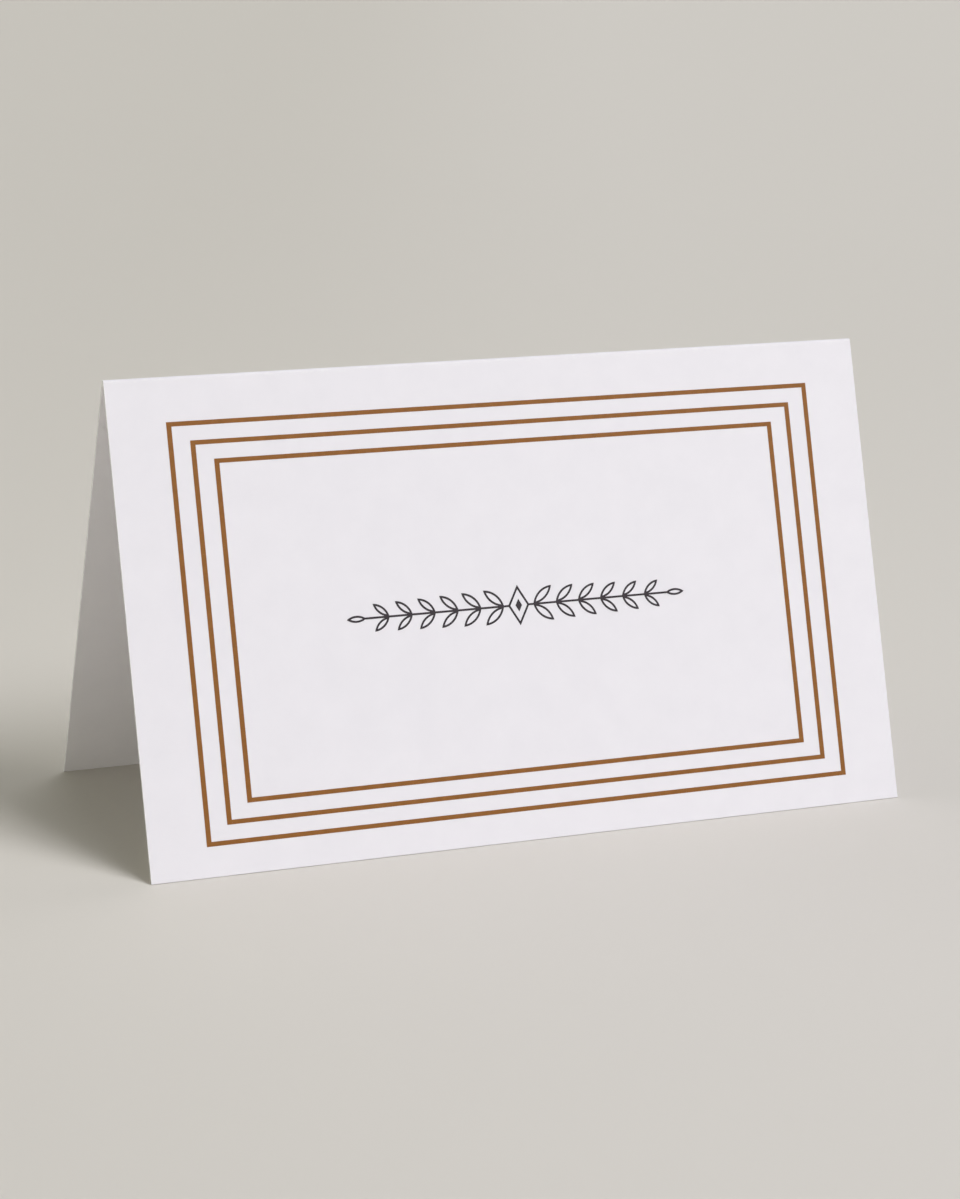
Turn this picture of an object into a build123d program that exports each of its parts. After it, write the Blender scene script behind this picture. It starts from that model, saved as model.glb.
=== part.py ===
from build123d import *
import os
from math import cos, radians, sin

os.makedirs("parts", exist_ok=True)

# A small greeting card: one sheet of heavy white card, scored and folded once, that stands as a tent.
# X runs along the fold, the printed front leaf faces -Y and +Z is up.
# The origin is on the table, midway between the two feet. Sizes are in millimetres, angles in degrees.

# The folded sheet
card_width = 127.0
leaf_height = 76.2  # from the top of the fold to the foot, measured on the leaf
sheet_thickness = 0.4
open_angle = 40.0  # between the leaves as the card stands
crease_inner_radius = 0.08
crease_bead_width = 0.44  # the roll of crushed fibres that scoring leaves inside the fold
crease_bead_drop = 0.18

# The border of nested rules, to the middle of the outermost rule
border_inset_side = 9.5
border_inset_fold = 7.35
border_inset_foot = 4.95
rule_step_across = 3.5
rule_step_down = 3.0
rule_width_upright = 0.78
rule_width_level = 0.70
rule_names = ("outer_rule", "middle_rule", "inner_rule")
ink_thickness = 0.03

# The ornament in the middle of the border: two leafy sprays that meet at a lozenge
ornament_length = 57.4
stroke_width = 0.32
lozenge_length = 3.6
lozenge_height = 6.4
lozenge_dot_length = 1.1
lozenge_dot_height = 2.0
pair_count = 6
first_pair_gap = 0.7  # from the lozenge to the foot of the nearest leaves
near_blade_length = 4.3
near_blade_width = 1.5
end_blade_length = 3.2
end_blade_width = 1.1
blade_angle = 40.0

# Values worked out from the sizes above
half_angle = radians(open_angle / 2)
ridge_radius = sheet_thickness + crease_inner_radius
leaf_flat = leaf_height - ridge_radius
ridge_z = leaf_flat * cos(half_angle) - crease_inner_radius * sin(half_angle)


def section_point(side, outward, down):
    """A point of the section across the fold, as (y, z), measured from the centre of the ridge's round.

    side is -1 on the front leaf and 1 on the rear one, outward is square to that leaf, down is along it.
    """
    y = side * (outward * cos(half_angle) + down * sin(half_angle))
    z = ridge_z + outward * sin(half_angle) - down * cos(half_angle)
    return (y, z)


def card_sheet():
    """The sheet: its section across the fold, with the round ridge outside and the score's bead inside."""
    bead_down = (crease_bead_width / 2 - crease_inner_radius * cos(half_angle)) / sin(half_angle)
    front_foot = section_point(-1, ridge_radius, leaf_flat)
    front_shoulder = section_point(-1, ridge_radius, 0)
    rear_shoulder = section_point(1, ridge_radius, 0)
    rear_foot = section_point(1, ridge_radius, leaf_flat)
    rear_inner_foot = section_point(1, crease_inner_radius, leaf_flat)
    rear_bead_end = section_point(1, crease_inner_radius, bead_down)
    front_bead_end = section_point(-1, crease_inner_radius, bead_down)
    front_inner_foot = section_point(-1, crease_inner_radius, leaf_flat)
    outline = [
        Line(front_foot, front_shoulder),
        ThreePointArc(front_shoulder, (0, ridge_z + ridge_radius), rear_shoulder),
        Polyline(rear_shoulder, rear_foot, rear_inner_foot, rear_bead_end),
        ThreePointArc(rear_bead_end, (0, rear_bead_end[1] - crease_bead_drop), front_bead_end),
        Polyline(front_bead_end, front_inner_foot, front_foot),
    ]
    section = Plane.YZ * make_face(outline)
    return extrude(section, amount=card_width / 2, both=True)


def print_plane():
    """The outer face of the front leaf: x across the card, y up the leaf from its foot, z out of the paper."""
    foot_y, foot_z = section_point(-1, ridge_radius, leaf_flat)
    outward = (0, -cos(half_angle), sin(half_angle))
    return Plane(origin=(0, foot_y, foot_z), x_dir=(1, 0, 0), z_dir=outward)


def border_middle():
    """The middle of the border on the front leaf, which sits a little below the middle of the leaf."""
    return Pos(0, (leaf_height - border_inset_fold + border_inset_foot) / 2)


def printed(shape):
    """A flat shape in ink: laid on the front leaf about the border's middle, and as thick as the ink."""
    return extrude(print_plane() * border_middle() * shape, amount=ink_thickness)


def border_rule(place):
    """One rectangular rule of the border, place 0 being the outermost; upright sides are a little wider."""
    across = card_width - 2 * (border_inset_side + place * rule_step_across)
    tall = leaf_height - border_inset_fold - border_inset_foot - 2 * place * rule_step_down
    outer = Rectangle(across + rule_width_upright, tall + rule_width_level)
    inner = Rectangle(across - rule_width_upright, tall - rule_width_level)
    return printed(outer - inner)


def lozenge(length, height):
    """A filled lozenge about the origin."""
    tips = [(length / 2, 0), (0, height / 2), (-length / 2, 0), (0, -height / 2)]
    return make_face(Polyline(*tips, close=True))


def blade(length, width):
    """A pointed leaf in outline, from its foot at the origin along x: two equal arcs, one stroke wide."""
    foot = (0, 0)
    tip = (length, 0)
    edge = [SagittaArc(foot, tip, width / 2), SagittaArc(tip, foot, width / 2)]
    whole = make_face(edge)
    return whole - offset(whole, amount=-stroke_width)


def spray():
    """The right-hand spray: a stem, pairs of blades that shrink towards its end, and a blade at its end."""
    start = lozenge_length / 2
    end_foot = ornament_length / 2 - end_blade_length
    first_foot = start + first_pair_gap
    pitch = (end_foot - first_foot) / pair_count
    stem = Pos((start + end_foot) / 2, 0) * Rectangle(end_foot - start + stroke_width, stroke_width)
    shapes = [stem, Pos(end_foot, 0) * blade(end_blade_length, end_blade_width)]
    for pair in range(pair_count):
        share = pair / pair_count
        length = near_blade_length + share * (end_blade_length - near_blade_length)
        width = near_blade_width + share * (end_blade_width - near_blade_width)
        for turn in (blade_angle, -blade_angle):
            shapes.append(Pos(first_foot + pair * pitch, 0) * Rot(0, 0, turn) * blade(length, width))
    return shapes


def centre_ornament():
    """Both sprays, the open lozenge that they grow from and the small solid lozenge inside it."""
    outer = lozenge(lozenge_length, lozenge_height)
    frame = outer - offset(outer, amount=-stroke_width, kind=Kind.INTERSECTION)
    right = spray()
    left = [mirror(shape, about=Plane.YZ) for shape in right]
    sprigs = Sketch() + [frame] + right + left
    dot = lozenge(lozenge_dot_length, lozenge_dot_height)
    return printed(sprigs + dot)


export_step(card_sheet(), "parts/card_sheet.step")
for place, name in enumerate(rule_names):
    export_step(border_rule(place), f"parts/{name}.step")
export_step(centre_ornament(), "parts/centre_ornament.step")
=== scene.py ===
"""Dresses the folded greeting card: its paper sheet, its printed inks, the light and the camera."""
from math import cos, pi, radians, sin, tan

import bmesh
import bpy
import numpy as np
from mathutils import Matrix, Vector


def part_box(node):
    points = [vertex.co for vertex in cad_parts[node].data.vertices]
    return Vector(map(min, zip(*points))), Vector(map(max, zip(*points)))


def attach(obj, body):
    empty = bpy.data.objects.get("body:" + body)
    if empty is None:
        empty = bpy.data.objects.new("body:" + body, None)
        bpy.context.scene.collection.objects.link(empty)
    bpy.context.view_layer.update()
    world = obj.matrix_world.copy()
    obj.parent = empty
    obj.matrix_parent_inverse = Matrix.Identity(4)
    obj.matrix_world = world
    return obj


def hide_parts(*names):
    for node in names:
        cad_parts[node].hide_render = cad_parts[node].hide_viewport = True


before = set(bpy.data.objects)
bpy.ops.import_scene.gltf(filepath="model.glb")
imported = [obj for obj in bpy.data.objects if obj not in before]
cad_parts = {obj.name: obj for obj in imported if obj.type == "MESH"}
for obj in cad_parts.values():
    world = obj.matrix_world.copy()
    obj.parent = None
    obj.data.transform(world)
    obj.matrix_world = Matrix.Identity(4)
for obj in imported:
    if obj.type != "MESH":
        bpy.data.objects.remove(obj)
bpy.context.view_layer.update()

# Sizes of the sheet, in metres; what the frame knows is read from it
MM = 0.001
sheet_low, sheet_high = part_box("card_sheet")
card_width = sheet_high[0] - sheet_low[0]
sheet_thickness = 0.4 * MM
crease_inner_radius = 0.08 * MM
crease_bead_width = 0.44 * MM
crease_bead_drop = 0.18 * MM
half_angle = radians(20)
ridge_radius = sheet_thickness + crease_inner_radius
ridge_z = sheet_high[2] - ridge_radius
leaf_flat = (sheet_high[1] - ridge_radius * cos(half_angle)) / sin(half_angle)
foot_press = 0.55  # how far a foot is pressed from its square cut towards lying flat
foot_reach = foot_press * sheet_thickness * tan(half_angle)

# How the cut edges are eased, and how the score dents the sheet beside its ridge
cut_ease = 0.05 * MM
corner_ease = 1.5 * cut_ease  # the most that comes off where two eased edges meet
flat_stop = 0.12 * MM  # the last row before an eased edge, which keeps the flat evenly shaded
score_dent = 0.012 * MM
score_distance = 0.75 * MM
score_spread = 0.3 * MM

# How finely the sheet is divided
ease_rows = 5
leaf_rows = 28
fold_rows = 36
width_rows = 96
cut_rows = 4
merge_distance = 0.001 * MM

# The paper close up: how large its features are, how far they stretch and how deep they go
soft_range = (0.3, 0.7)  # where the values of soft noise mostly lie
cloud_size = 5 * MM
clump_size = 1.6 * MM
clump_depth = 0.006 * MM
fibre_size = 0.30 * MM
fibre_stretch = (4, 1, 1)
fibre_depth = 0.006 * MM
tooth_size = 0.11 * MM
tooth_depth = 0.003 * MM
sheen_size = 0.5 * MM
sheen_stretch = (3, 1, 1)
sheen_roughness = (0.56, 0.68)
paper_gloss = 0.35

# The cracked fibres of the ridge
crack_zone = (0.9 * MM, 0.1 * MM)  # how far below the ridge's top they begin and are full
crack_size = 0.16 * MM
crack_stretch = (7, 1, 1)
crack_range = (0.50, 0.62)
crack_depth = 0.03 * MM

# The layered fibres of the cut edges
layer_size = 0.045 * MM
layer_stretch = (12, 1, 12)
layer_range = (0.35, 0.65)
layer_depth = 0.02 * MM
crumb_size = 0.12 * MM
crumb_depth = 0.02 * MM
cut_roughness = 0.82
cut_gloss = 0.2

# The inks close up
drift_size = 1.1 * MM
speck_size = 0.07 * MM
speck_stretch = (2, 1, 1)
speck_range = (0.70, 0.78)
speck_share = 0.35  # how much of the paper a speck lets through
bronze_roughness = 0.5
bronze_gloss = 0.22
charcoal_roughness = 0.55
charcoal_gloss = 0.3

# The camera, fitted to the corners of the leaf and of its rules in the 960 by 1199 photograph
camera_place = Vector((-182.4, -444.9, 175.1)) * MM
camera_azimuth = radians(-22.18)
camera_elevation = radians(16.60)
camera_roll = radians(1.70)
camera_lens = 93.1
camera_sensor = 36.0
camera_reach = (0.01, 50)  # the nearest and the farthest that it sees, in metres

# The light: a soft key from the right and the front, a weaker lamp overhead, a weak spot at the right
lamp_colour = (0.985, 0.990, 1.045)
key_azimuth = radians(-51)
key_elevation = radians(46)
key_spread = radians(28)
key_strength = 1.93
top_azimuth = radians(-40)
top_elevation = radians(78)
top_spread = radians(20)
top_strength = 0.65
side_place = Vector((0.46, -0.34, 0.34))
side_size = 0.15
side_cone = radians(58)
side_power = 1.84

# The room, whose light comes low from the left and the back, and a little from everywhere
room_colour = (1.0, 1.0, 0.86, 1)
room_left = 4.6
room_back = 4.8
room_even = 0.03
room_low_power = 4  # how fast the light from the sides falls off with height

# The floor, whose tone eases across the camera's view and along it: darker at the left by painted
# shade beside the card's shadow, and lighter before the card by painted light
floor_half = 4.0
floor_drop = 0.01 * MM
floor_across = (-0.113, 0.061)  # where the left tone ends and the right one is reached
floor_along = (-0.082, -0.003)  # where it stops being lightest and is even again
# The lightening before the card is painted light
floor_painted_light_near = 1.048  # how much lighter it is at its lightest
floor_roughness = 0.9
floor_gloss = 0.1

# Colours, linear
paper_light = (0.832, 0.809, 0.844, 1)
paper_shade = (0.812, 0.790, 0.826, 1)
paper_torn = (0.87, 0.86, 0.87, 1)
# The cut edge's colours are the paper's darkened by painted shade, which stands in for the shade the
# edge gets
cut_painted_shade_light = (0.56, 0.55, 0.56, 1)
cut_painted_shade_deep = (0.46, 0.45, 0.455, 1)
bronze_light = (0.285, 0.115, 0.0245, 1)
bronze_deep = (0.237, 0.093, 0.017, 1)
charcoal_light = (0.038, 0.030, 0.036, 1)
charcoal_deep = (0.028, 0.021, 0.026, 1)
# The floor's left tone is darker than its right one: painted shade beside the card's shadow
floor_painted_shade_left = (0.640, 0.611, 0.556, 1)
floor_right = (0.6965, 0.6665, 0.618, 1)
room_seen = (0.604, 0.583, 0.542, 1)


def section_point(side, outward, down):
    """Points of the section across the fold, from the centre of the ridge's round: y and z.

    side is -1 on the front leaf and 1 on the rear one. outward goes square to that leaf and down
    along it, so y = side (outward cos a + down sin a) and z = centre + outward sin a - down cos a.
    """
    y = side * (outward * cos(half_angle) + down * sin(half_angle))
    z = ridge_z + outward * sin(half_angle) - down * cos(half_angle)
    return np.stack([y, z], axis=-1)


def eased_end():
    """An eased edge as (distance from the cut, loss of half thickness), starting at the cut.

    It is a quarter circle: distance r (1 - cos q) and loss r (1 - sin q), q from 0 to a quarter turn.
    """
    turn = np.linspace(0, pi / 2, ease_rows)
    return cut_ease * (1 - np.cos(turn)), cut_ease * (1 - np.sin(turn))


def width_stops():
    """Distances across the card from cut to cut, and the loss at each: even between eased ends."""
    near, loss = eased_end()
    middle = np.linspace(flat_stop, card_width - flat_stop, width_rows)
    distance = np.concatenate([near, middle, card_width - near[::-1]])
    return distance, np.concatenate([loss, np.zeros(width_rows), loss[::-1]])


def leaf_stops():
    """Distances down a leaf from the ridge's shoulder to its foot, and the loss at each.

    They are the squares of an even spacing, so they crowd near the ridge, and end in the eased foot.
    """
    near, loss = eased_end()
    down = (leaf_flat - flat_stop) * np.linspace(0, 1, leaf_rows) ** 2
    distance = np.concatenate([down, leaf_flat - near[::-1]])
    return distance, np.concatenate([np.zeros(leaf_rows), loss[::-1]])


def sheet_section():
    """The section across the fold, from the front foot over the ridge to the rear foot.

    It is given as its outer points, its inner points and the loss at each. On the leaves both
    lines are straight. Over the ridge the outer one is a circle, and the inner one is the bead of
    fibres that the score pushed in: the circle through its two ends and its lowest point. Beside
    the ridge the outer line sinks by a bell curve, the dent of the score. At the foot it reaches
    further down in step with the easing: by thickness times tan a the cut would lie flat, and it
    goes part of that way.
    """
    down, loss = leaf_stops()
    outer_down = down + foot_reach * loss / cut_ease
    outward = ridge_radius - score_dent * np.exp(-(((down - score_distance) / score_spread) ** 2))
    bead_down = (crease_bead_width / 2 - crease_inner_radius * cos(half_angle)) / sin(half_angle)
    inner_down = bead_down + down * (leaf_flat - bead_down) / leaf_flat
    outer_front, outer_rear = (section_point(side, outward, outer_down) for side in (-1, 1))
    inner_front, inner_rear = (
        section_point(side, crease_inner_radius, inner_down) for side in (-1, 1)
    )
    share = np.linspace(-1, 1, fold_rows)[1:-1]
    over = share * (pi / 2 - half_angle)
    ridge_y = ridge_radius * np.sin(over)
    ridge = np.stack([ridge_y, ridge_z + ridge_radius * np.cos(over)], axis=-1)
    chord = crease_bead_width / 2
    bead_radius = (chord**2 + crease_bead_drop**2) / (2 * crease_bead_drop)
    bead_centre = inner_front[0, 1] - crease_bead_drop + bead_radius
    under = share * np.arctan2(chord, bead_radius - crease_bead_drop)
    bead_y = bead_radius * np.sin(under)
    bead = np.stack([bead_y, bead_centre - bead_radius * np.cos(under)], axis=-1)
    outer = np.concatenate([outer_front[::-1], ridge, outer_rear])
    inner = np.concatenate([inner_front[::-1], bead, inner_rear])
    return outer, inner, np.concatenate([loss[::-1], np.zeros(fold_rows - 2), loss])


def sheet_points(across, across_loss, level):
    """Points of the sheet at distances across it, for each point of its section.

    Level 0 is the outer face and level 1 the inner one. A point is the middle of the section
    there, plus half its depth less the loss, times 1 - 2 level. At a corner the losses of the two
    eased edges add up, to the corner's easing at most.
    """
    outer, inner, along_loss = sheet_section()
    middle, half = (outer + inner) / 2, (outer - inner) / 2
    depth = np.linalg.norm(half, axis=1)
    loss = np.minimum(across_loss[:, None] + along_loss, corner_ease)
    keep = (1 - loss / depth) * (1 - 2 * level)
    spot = middle + half * keep[..., None]
    x = np.broadcast_to((across - card_width / 2)[:, None, None], (*keep.shape, 1))
    return np.concatenate([x, spot], axis=-1)


def grid_faces(rows, columns, start):
    """Corner numbers of the quads of a grid whose points are numbered row by row from start."""
    corner = np.arange(rows - 1)[:, None] * columns + np.arange(columns - 1) + start
    return corner.reshape(-1, 1) + np.array([0, 1, columns + 1, columns])


def closed_piece(name, patches, finishes):
    """One closed piece from grids with their finishes' numbers: seams merged, faces outward."""
    shapes = [grid.shape[:2] for grid, mark in patches]
    starts = np.cumsum([0] + [rows * columns for rows, columns in shapes])
    faces = [grid_faces(*shape, start) for shape, start in zip(shapes, starts)]
    marks = [np.full(len(quads), mark) for quads, (grid, mark) in zip(faces, patches)]
    points = np.concatenate([grid.reshape(-1, 3) for grid, mark in patches])
    mesh = bpy.data.meshes.new(name)
    mesh.from_pydata(points, [], np.concatenate(faces).tolist())
    for finish in finishes:
        mesh.materials.append(finish)
    mesh.polygons.foreach_set("material_index", np.concatenate(marks).astype(np.int32))
    mesh.polygons.foreach_set("use_smooth", np.ones(len(mesh.polygons), dtype=bool))
    shell = bmesh.new()
    shell.from_mesh(mesh)
    bmesh.ops.remove_doubles(shell, verts=shell.verts, dist=merge_distance)
    bmesh.ops.recalc_face_normals(shell, faces=shell.faces)
    shell.to_mesh(mesh)
    shell.free()
    piece = bpy.data.objects.new(name, mesh)
    bpy.context.scene.collection.objects.link(piece)
    return piece


def paper_sheet():
    """The card's sheet: two faces, two cut ends and two cut feet, by the formula of sheet_points."""
    across, loss = width_stops()
    levels = np.linspace(0, 1, cut_rows + 1)
    layers = np.stack([sheet_points(across, loss, level) for level in levels])
    paper, cut = 0, 1
    faces = [(layers[0], paper), (layers[-1], paper)]
    ends = [(layers[:, end], cut) for end in (0, -1)]
    feet = [(layers[:, :, foot], cut) for foot in (0, -1)]
    return closed_piece("paper_sheet", faces + ends + feet, [paper_finish(), cut_edge_finish()])


class Nodes:
    """A tree of shader nodes being filled in, with short ways to add to it."""

    def __init__(self, holder):
        holder.use_nodes = True
        self.tree = holder.node_tree

    def feed(self, socket, value):
        """Sets a socket to a value, or links it where the value is another node's output."""
        if isinstance(value, bpy.types.NodeSocket):
            self.tree.links.new(value, socket)
        else:
            socket.default_value = value

    def fill(self, node, values):
        """Feeds the inputs of a node by their names, where an underscore stands for a space."""
        for name, value in values.items():
            self.feed(node.inputs[name.replace("_", " ")], value)

    def put(self, kind, **values):
        """A new node with these inputs."""
        made = self.tree.nodes.new(kind)
        self.fill(made, values)
        return made

    def maths(self, operation, first, second=0.0, held=False):
        """One step of arithmetic on two values, held between 0 and 1 where that is asked."""
        made = self.tree.nodes.new("ShaderNodeMath")
        made.operation = operation
        made.use_clamp = held
        self.feed(made.inputs[0], first)
        self.feed(made.inputs[1], second)
        return made.outputs[0]


class Finish(Nodes):
    """A material being made from patterns on the piece's Object coordinates."""

    def __init__(self, name):
        self.material = bpy.data.materials.new(name)
        super().__init__(self.material)
        self.place = self.put("ShaderNodeTexCoord").outputs["Object"]

    def noise(self, size, detail=3.0, rough=0.55, stretch=(1, 1, 1), place=None):
        """Soft noise of features about size across, longer along an axis stretched by over 1."""
        scale = [1 / (size * amount) for amount in stretch]
        placed = self.put("ShaderNodeMapping", Vector=place or self.place, Scale=scale).outputs[0]
        values = {"Vector": placed, "Scale": 1.0, "Detail": detail, "Roughness": rough}
        return self.put("ShaderNodeTexNoise", **values).outputs["Fac"]

    def ramp(self, source, low, high, to_low=0.0, to_high=1.0, kind="LINEAR"):
        """source taken from between low and high to between to_low and to_high, and held there."""
        ends = {"From_Min": low, "From_Max": high, "To_Min": to_low, "To_Max": to_high}
        made = self.put("ShaderNodeMapRange", Value=source, **ends)
        made.interpolation_type = kind
        return made.outputs["Result"]

    def blend(self, share, first, second):
        """A colour between the first, at share 0, and the second, at share 1."""
        made = self.tree.nodes.new("ShaderNodeMix")
        made.data_type = "RGBA"
        # Its sockets have the same names for each kind of value, so those for colours go by number
        factor, first_colour, second_colour = (made.inputs[number] for number in (0, 6, 7))
        self.feed(factor, share)
        self.feed(first_colour, first)
        self.feed(second_colour, second)
        return made.outputs[2]

    def bump(self, height, depth, under=None):
        """A relief as deep as depth where height goes from 0 to 1, over the relief under it."""
        made = self.put("ShaderNodeBump", Height=height, Distance=depth, Strength=1.0)
        if under is not None:
            self.feed(made.inputs["Normal"], under)
        return made.outputs["Normal"]

    def done(self, roughness, gloss, **values):
        """The material, with these values set on its shader or linked to it."""
        values.update(Roughness=roughness, Specular_IOR_Level=gloss)
        self.fill(self.tree.nodes["Principled BSDF"], values)
        return self.material


def paper_relief(finish):
    """The relief of the sheet, which its inks follow: clumps, fibres along the fold, a fine tooth."""
    clumps = finish.bump(finish.noise(clump_size, detail=2.0), clump_depth)
    fibres = finish.noise(fibre_size, rough=0.7, stretch=fibre_stretch)
    fibrous = finish.bump(fibres, fibre_depth, clumps)
    return finish.bump(finish.noise(tooth_size, detail=2.0), tooth_depth, fibrous)


def paper_finish():
    """Heavy uncoated white card: cloudy, with a faint tooth and fibres cracked at the fold."""
    finish = Finish("card_paper")
    clouds = finish.ramp(finish.noise(cloud_size), *soft_range)
    height = finish.put("ShaderNodeSeparateXYZ", Vector=finish.place).outputs["Z"]
    on_ridge = finish.ramp(height, *(sheet_high[2] - drop for drop in crack_zone))
    cracks = finish.noise(crack_size, detail=5.0, rough=0.75, stretch=crack_stretch)
    cracked = finish.maths("MULTIPLY", on_ridge, cracks)
    torn = finish.maths("MULTIPLY", on_ridge, finish.ramp(cracks, *crack_range))
    sheen = finish.noise(sheen_size, stretch=sheen_stretch)
    return finish.done(
        finish.ramp(sheen, *soft_range, *sheen_roughness),
        paper_gloss,
        Base_Color=finish.blend(torn, finish.blend(clouds, paper_shade, paper_light), paper_torn),
        Normal=finish.bump(cracked, crack_depth, paper_relief(finish)),
    )


def cut_edge_finish():
    """The cut edge: broken fibres in thin layers that lie along the sheet, duller than its faces, and
    darker by painted shade.

    The front leaf's points are folded onto the rear one's side and turned upright with it, so that
    the noise is thin across the sheet and long along it on both leaves.
    """
    finish = Finish("card_cut_edge_painted_shade")
    split = finish.put("ShaderNodeSeparateXYZ", Vector=finish.place).outputs
    folded = finish.maths("ABSOLUTE", split["Y"])
    joined = finish.put("ShaderNodeCombineXYZ", X=split["X"], Y=folded, Z=split["Z"]).outputs[0]
    upright = finish.put("ShaderNodeMapping", Vector=joined, Rotation=(-half_angle, 0, 0)).outputs[0]
    layers = finish.noise(layer_size, detail=4.0, rough=0.7, stretch=layer_stretch, place=upright)
    crumbs = finish.bump(finish.noise(crumb_size, detail=4.0), crumb_depth)
    return finish.done(
        cut_roughness,
        cut_gloss,
        Base_Color=finish.blend(finish.ramp(layers, *layer_range), cut_painted_shade_deep, cut_painted_shade_light),
        Normal=finish.bump(layers, layer_depth, crumbs),
    )


def ink_finish(name, light, deep, roughness, gloss):
    """Flat printing ink: its density drifts, paper shows through as specks, and it has its relief."""
    finish = Finish(name)
    drift = finish.ramp(finish.noise(drift_size, detail=4.0, rough=0.65), *soft_range)
    specks = finish.noise(speck_size, detail=2.0, stretch=speck_stretch)
    bare = finish.ramp(specks, *speck_range, 0.0, speck_share)
    return finish.done(
        roughness,
        gloss,
        Base_Color=finish.blend(bare, finish.blend(drift, deep, light), paper_shade),
        Normal=paper_relief(finish),
    )


def floor_finish():
    """Plain pale floor: one colour, with painted shade making it darker at the left of the view and
    painted light making it a little lighter before the card.
    """
    finish = Finish("pale_floor")
    turned = finish.put("ShaderNodeMapping", Vector=finish.place, Rotation=(0, 0, -camera_azimuth))
    split = finish.put("ShaderNodeSeparateXYZ", Vector=turned.outputs[0]).outputs
    across = finish.ramp(split["X"], *floor_across, kind="SMOOTHSTEP")
    along = finish.ramp(split["Y"], *floor_along, floor_painted_light_near, 1.0, kind="SMOOTHSTEP")
    tone = finish.blend(across, floor_painted_shade_left, floor_right)
    painted_light_tone = finish.put("ShaderNodeHueSaturation", Color=tone, Value=along).outputs[0]
    return finish.done(floor_roughness, floor_gloss, Base_Color=painted_light_tone)


def floor():
    """The floor: one square in the plane that the card stands on, just under its feet."""
    corner = np.array([[-1, -1], [1, -1], [1, 1], [-1, 1]]) * floor_half
    points = np.column_stack([corner, np.full(4, -floor_drop)])
    mesh = bpy.data.meshes.new("floor")
    mesh.from_pydata(points.tolist(), [], [[0, 1, 2, 3]])
    mesh.materials.append(floor_finish())
    piece = bpy.data.objects.new("floor", mesh)
    bpy.context.scene.collection.objects.link(piece)
    return piece


def camera():
    """The camera at the photograph's place: turned by its azimuth, tipped down, then rolled."""
    data = bpy.data.cameras.new("camera")
    data.lens = camera_lens
    data.sensor_width = camera_sensor
    data.clip_start, data.clip_end = camera_reach
    view = bpy.data.objects.new("camera", data)
    turn = Matrix.Rotation(camera_azimuth, 4, "Z")
    tip = Matrix.Rotation(pi / 2 - camera_elevation, 4, "X")
    roll = Matrix.Rotation(camera_roll, 4, "Z")
    view.matrix_world = Matrix.Translation(camera_place) @ turn @ tip @ roll
    bpy.context.scene.collection.objects.link(view)
    return view


def lamp(name, kind, towards, place=(0, 0, 0)):
    """A lamp at a place. The direction towards it is the one from what it lights."""
    data = bpy.data.lights.new(name, kind)
    data.color = lamp_colour
    shown = bpy.data.objects.new(name, data)
    shown.location = place
    shown.rotation_euler = Vector(towards).to_track_quat("Z", "Y").to_euler()
    bpy.context.scene.collection.objects.link(shown)
    return data


def distant_lamp(name, azimuth, elevation, spread, strength):
    """A lamp far away in a direction, which looks as wide as spread and so gives soft shadows."""
    flat = cos(elevation)
    data = lamp(name, "SUN", (flat * cos(azimuth), flat * sin(azimuth), sin(elevation)))
    data.angle = spread
    data.energy = strength


def lights():
    """The key, the weaker lamp overhead, and the spot whose soft pool brightens the right end."""
    distant_lamp("key", key_azimuth, key_elevation, key_spread, key_strength)
    distant_lamp("overhead", top_azimuth, top_elevation, top_spread, top_strength)
    card_middle = Vector((0, 0, sheet_high[2] / 2))
    side = lamp("side", "SPOT", side_place - card_middle, side_place)
    side.shadow_soft_size = side_size
    side.spot_size = side_cone
    side.spot_blend = 1.0
    side.energy = side_power


def room():
    """The room's light, which comes low from the left and the back, and a little from everywhere.

    Towards (x, y, z) its level is even + (1 - z)^power (left (-x) + back y), where no part goes
    below 0. The camera and mirror-like rays see the floor's far tone in its place.
    """
    world = bpy.data.worlds.new("room")
    nodes = Nodes(world)
    around = nodes.put("ShaderNodeTexCoord").outputs["Generated"]
    towards = nodes.put("ShaderNodeSeparateXYZ", Vector=around).outputs
    below_top = nodes.maths("SUBTRACT", 1.0, towards["Z"], held=True)
    low = nodes.maths("POWER", below_top, room_low_power)
    left = nodes.maths("MAXIMUM", nodes.maths("MULTIPLY", towards["X"], -room_left))
    back = nodes.maths("MAXIMUM", nodes.maths("MULTIPLY", towards["Y"], room_back))
    sides = nodes.maths("MULTIPLY", low, nodes.maths("ADD", left, back))
    strength = nodes.maths("ADD", sides, room_even)
    light = nodes.put("ShaderNodeBackground", Color=room_colour, Strength=strength)
    backdrop = nodes.put("ShaderNodeBackground", Color=room_seen)
    path = nodes.put("ShaderNodeLightPath").outputs
    mirrored = nodes.maths("MAXIMUM", path["Is Glossy Ray"], path["Is Transmission Ray"])
    seen = nodes.maths("MAXIMUM", path["Is Camera Ray"], mirrored)
    mix = nodes.put("ShaderNodeMixShader", Fac=seen)
    nodes.feed(mix.inputs[1], light.outputs[0])
    nodes.feed(mix.inputs[2], backdrop.outputs[0])
    nodes.feed(nodes.tree.nodes["World Output"].inputs["Surface"], mix.outputs[0])
    return world


def repaint(nodes, finish):
    """Gives the frame's nodes of these names a finish."""
    for name in nodes:
        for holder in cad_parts[name].material_slots:
            holder.material = finish


# The object
sheet = paper_sheet()
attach(sheet, "root")
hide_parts("card_sheet")
bronze = ink_finish("bronze_ink", bronze_light, bronze_deep, bronze_roughness, bronze_gloss)
charcoal = ink_finish(
    "charcoal_ink", charcoal_light, charcoal_deep, charcoal_roughness, charcoal_gloss
)
repaint(("outer_rule", "middle_rule", "inner_rule"), bronze)
repaint(("centre_ornament",), charcoal)

# The stage, the light and the camera
floor()
lights()
bpy.context.scene.world = room()
bpy.context.scene.camera = camera()
bpy.context.scene.view_settings.view_transform = "Standard"
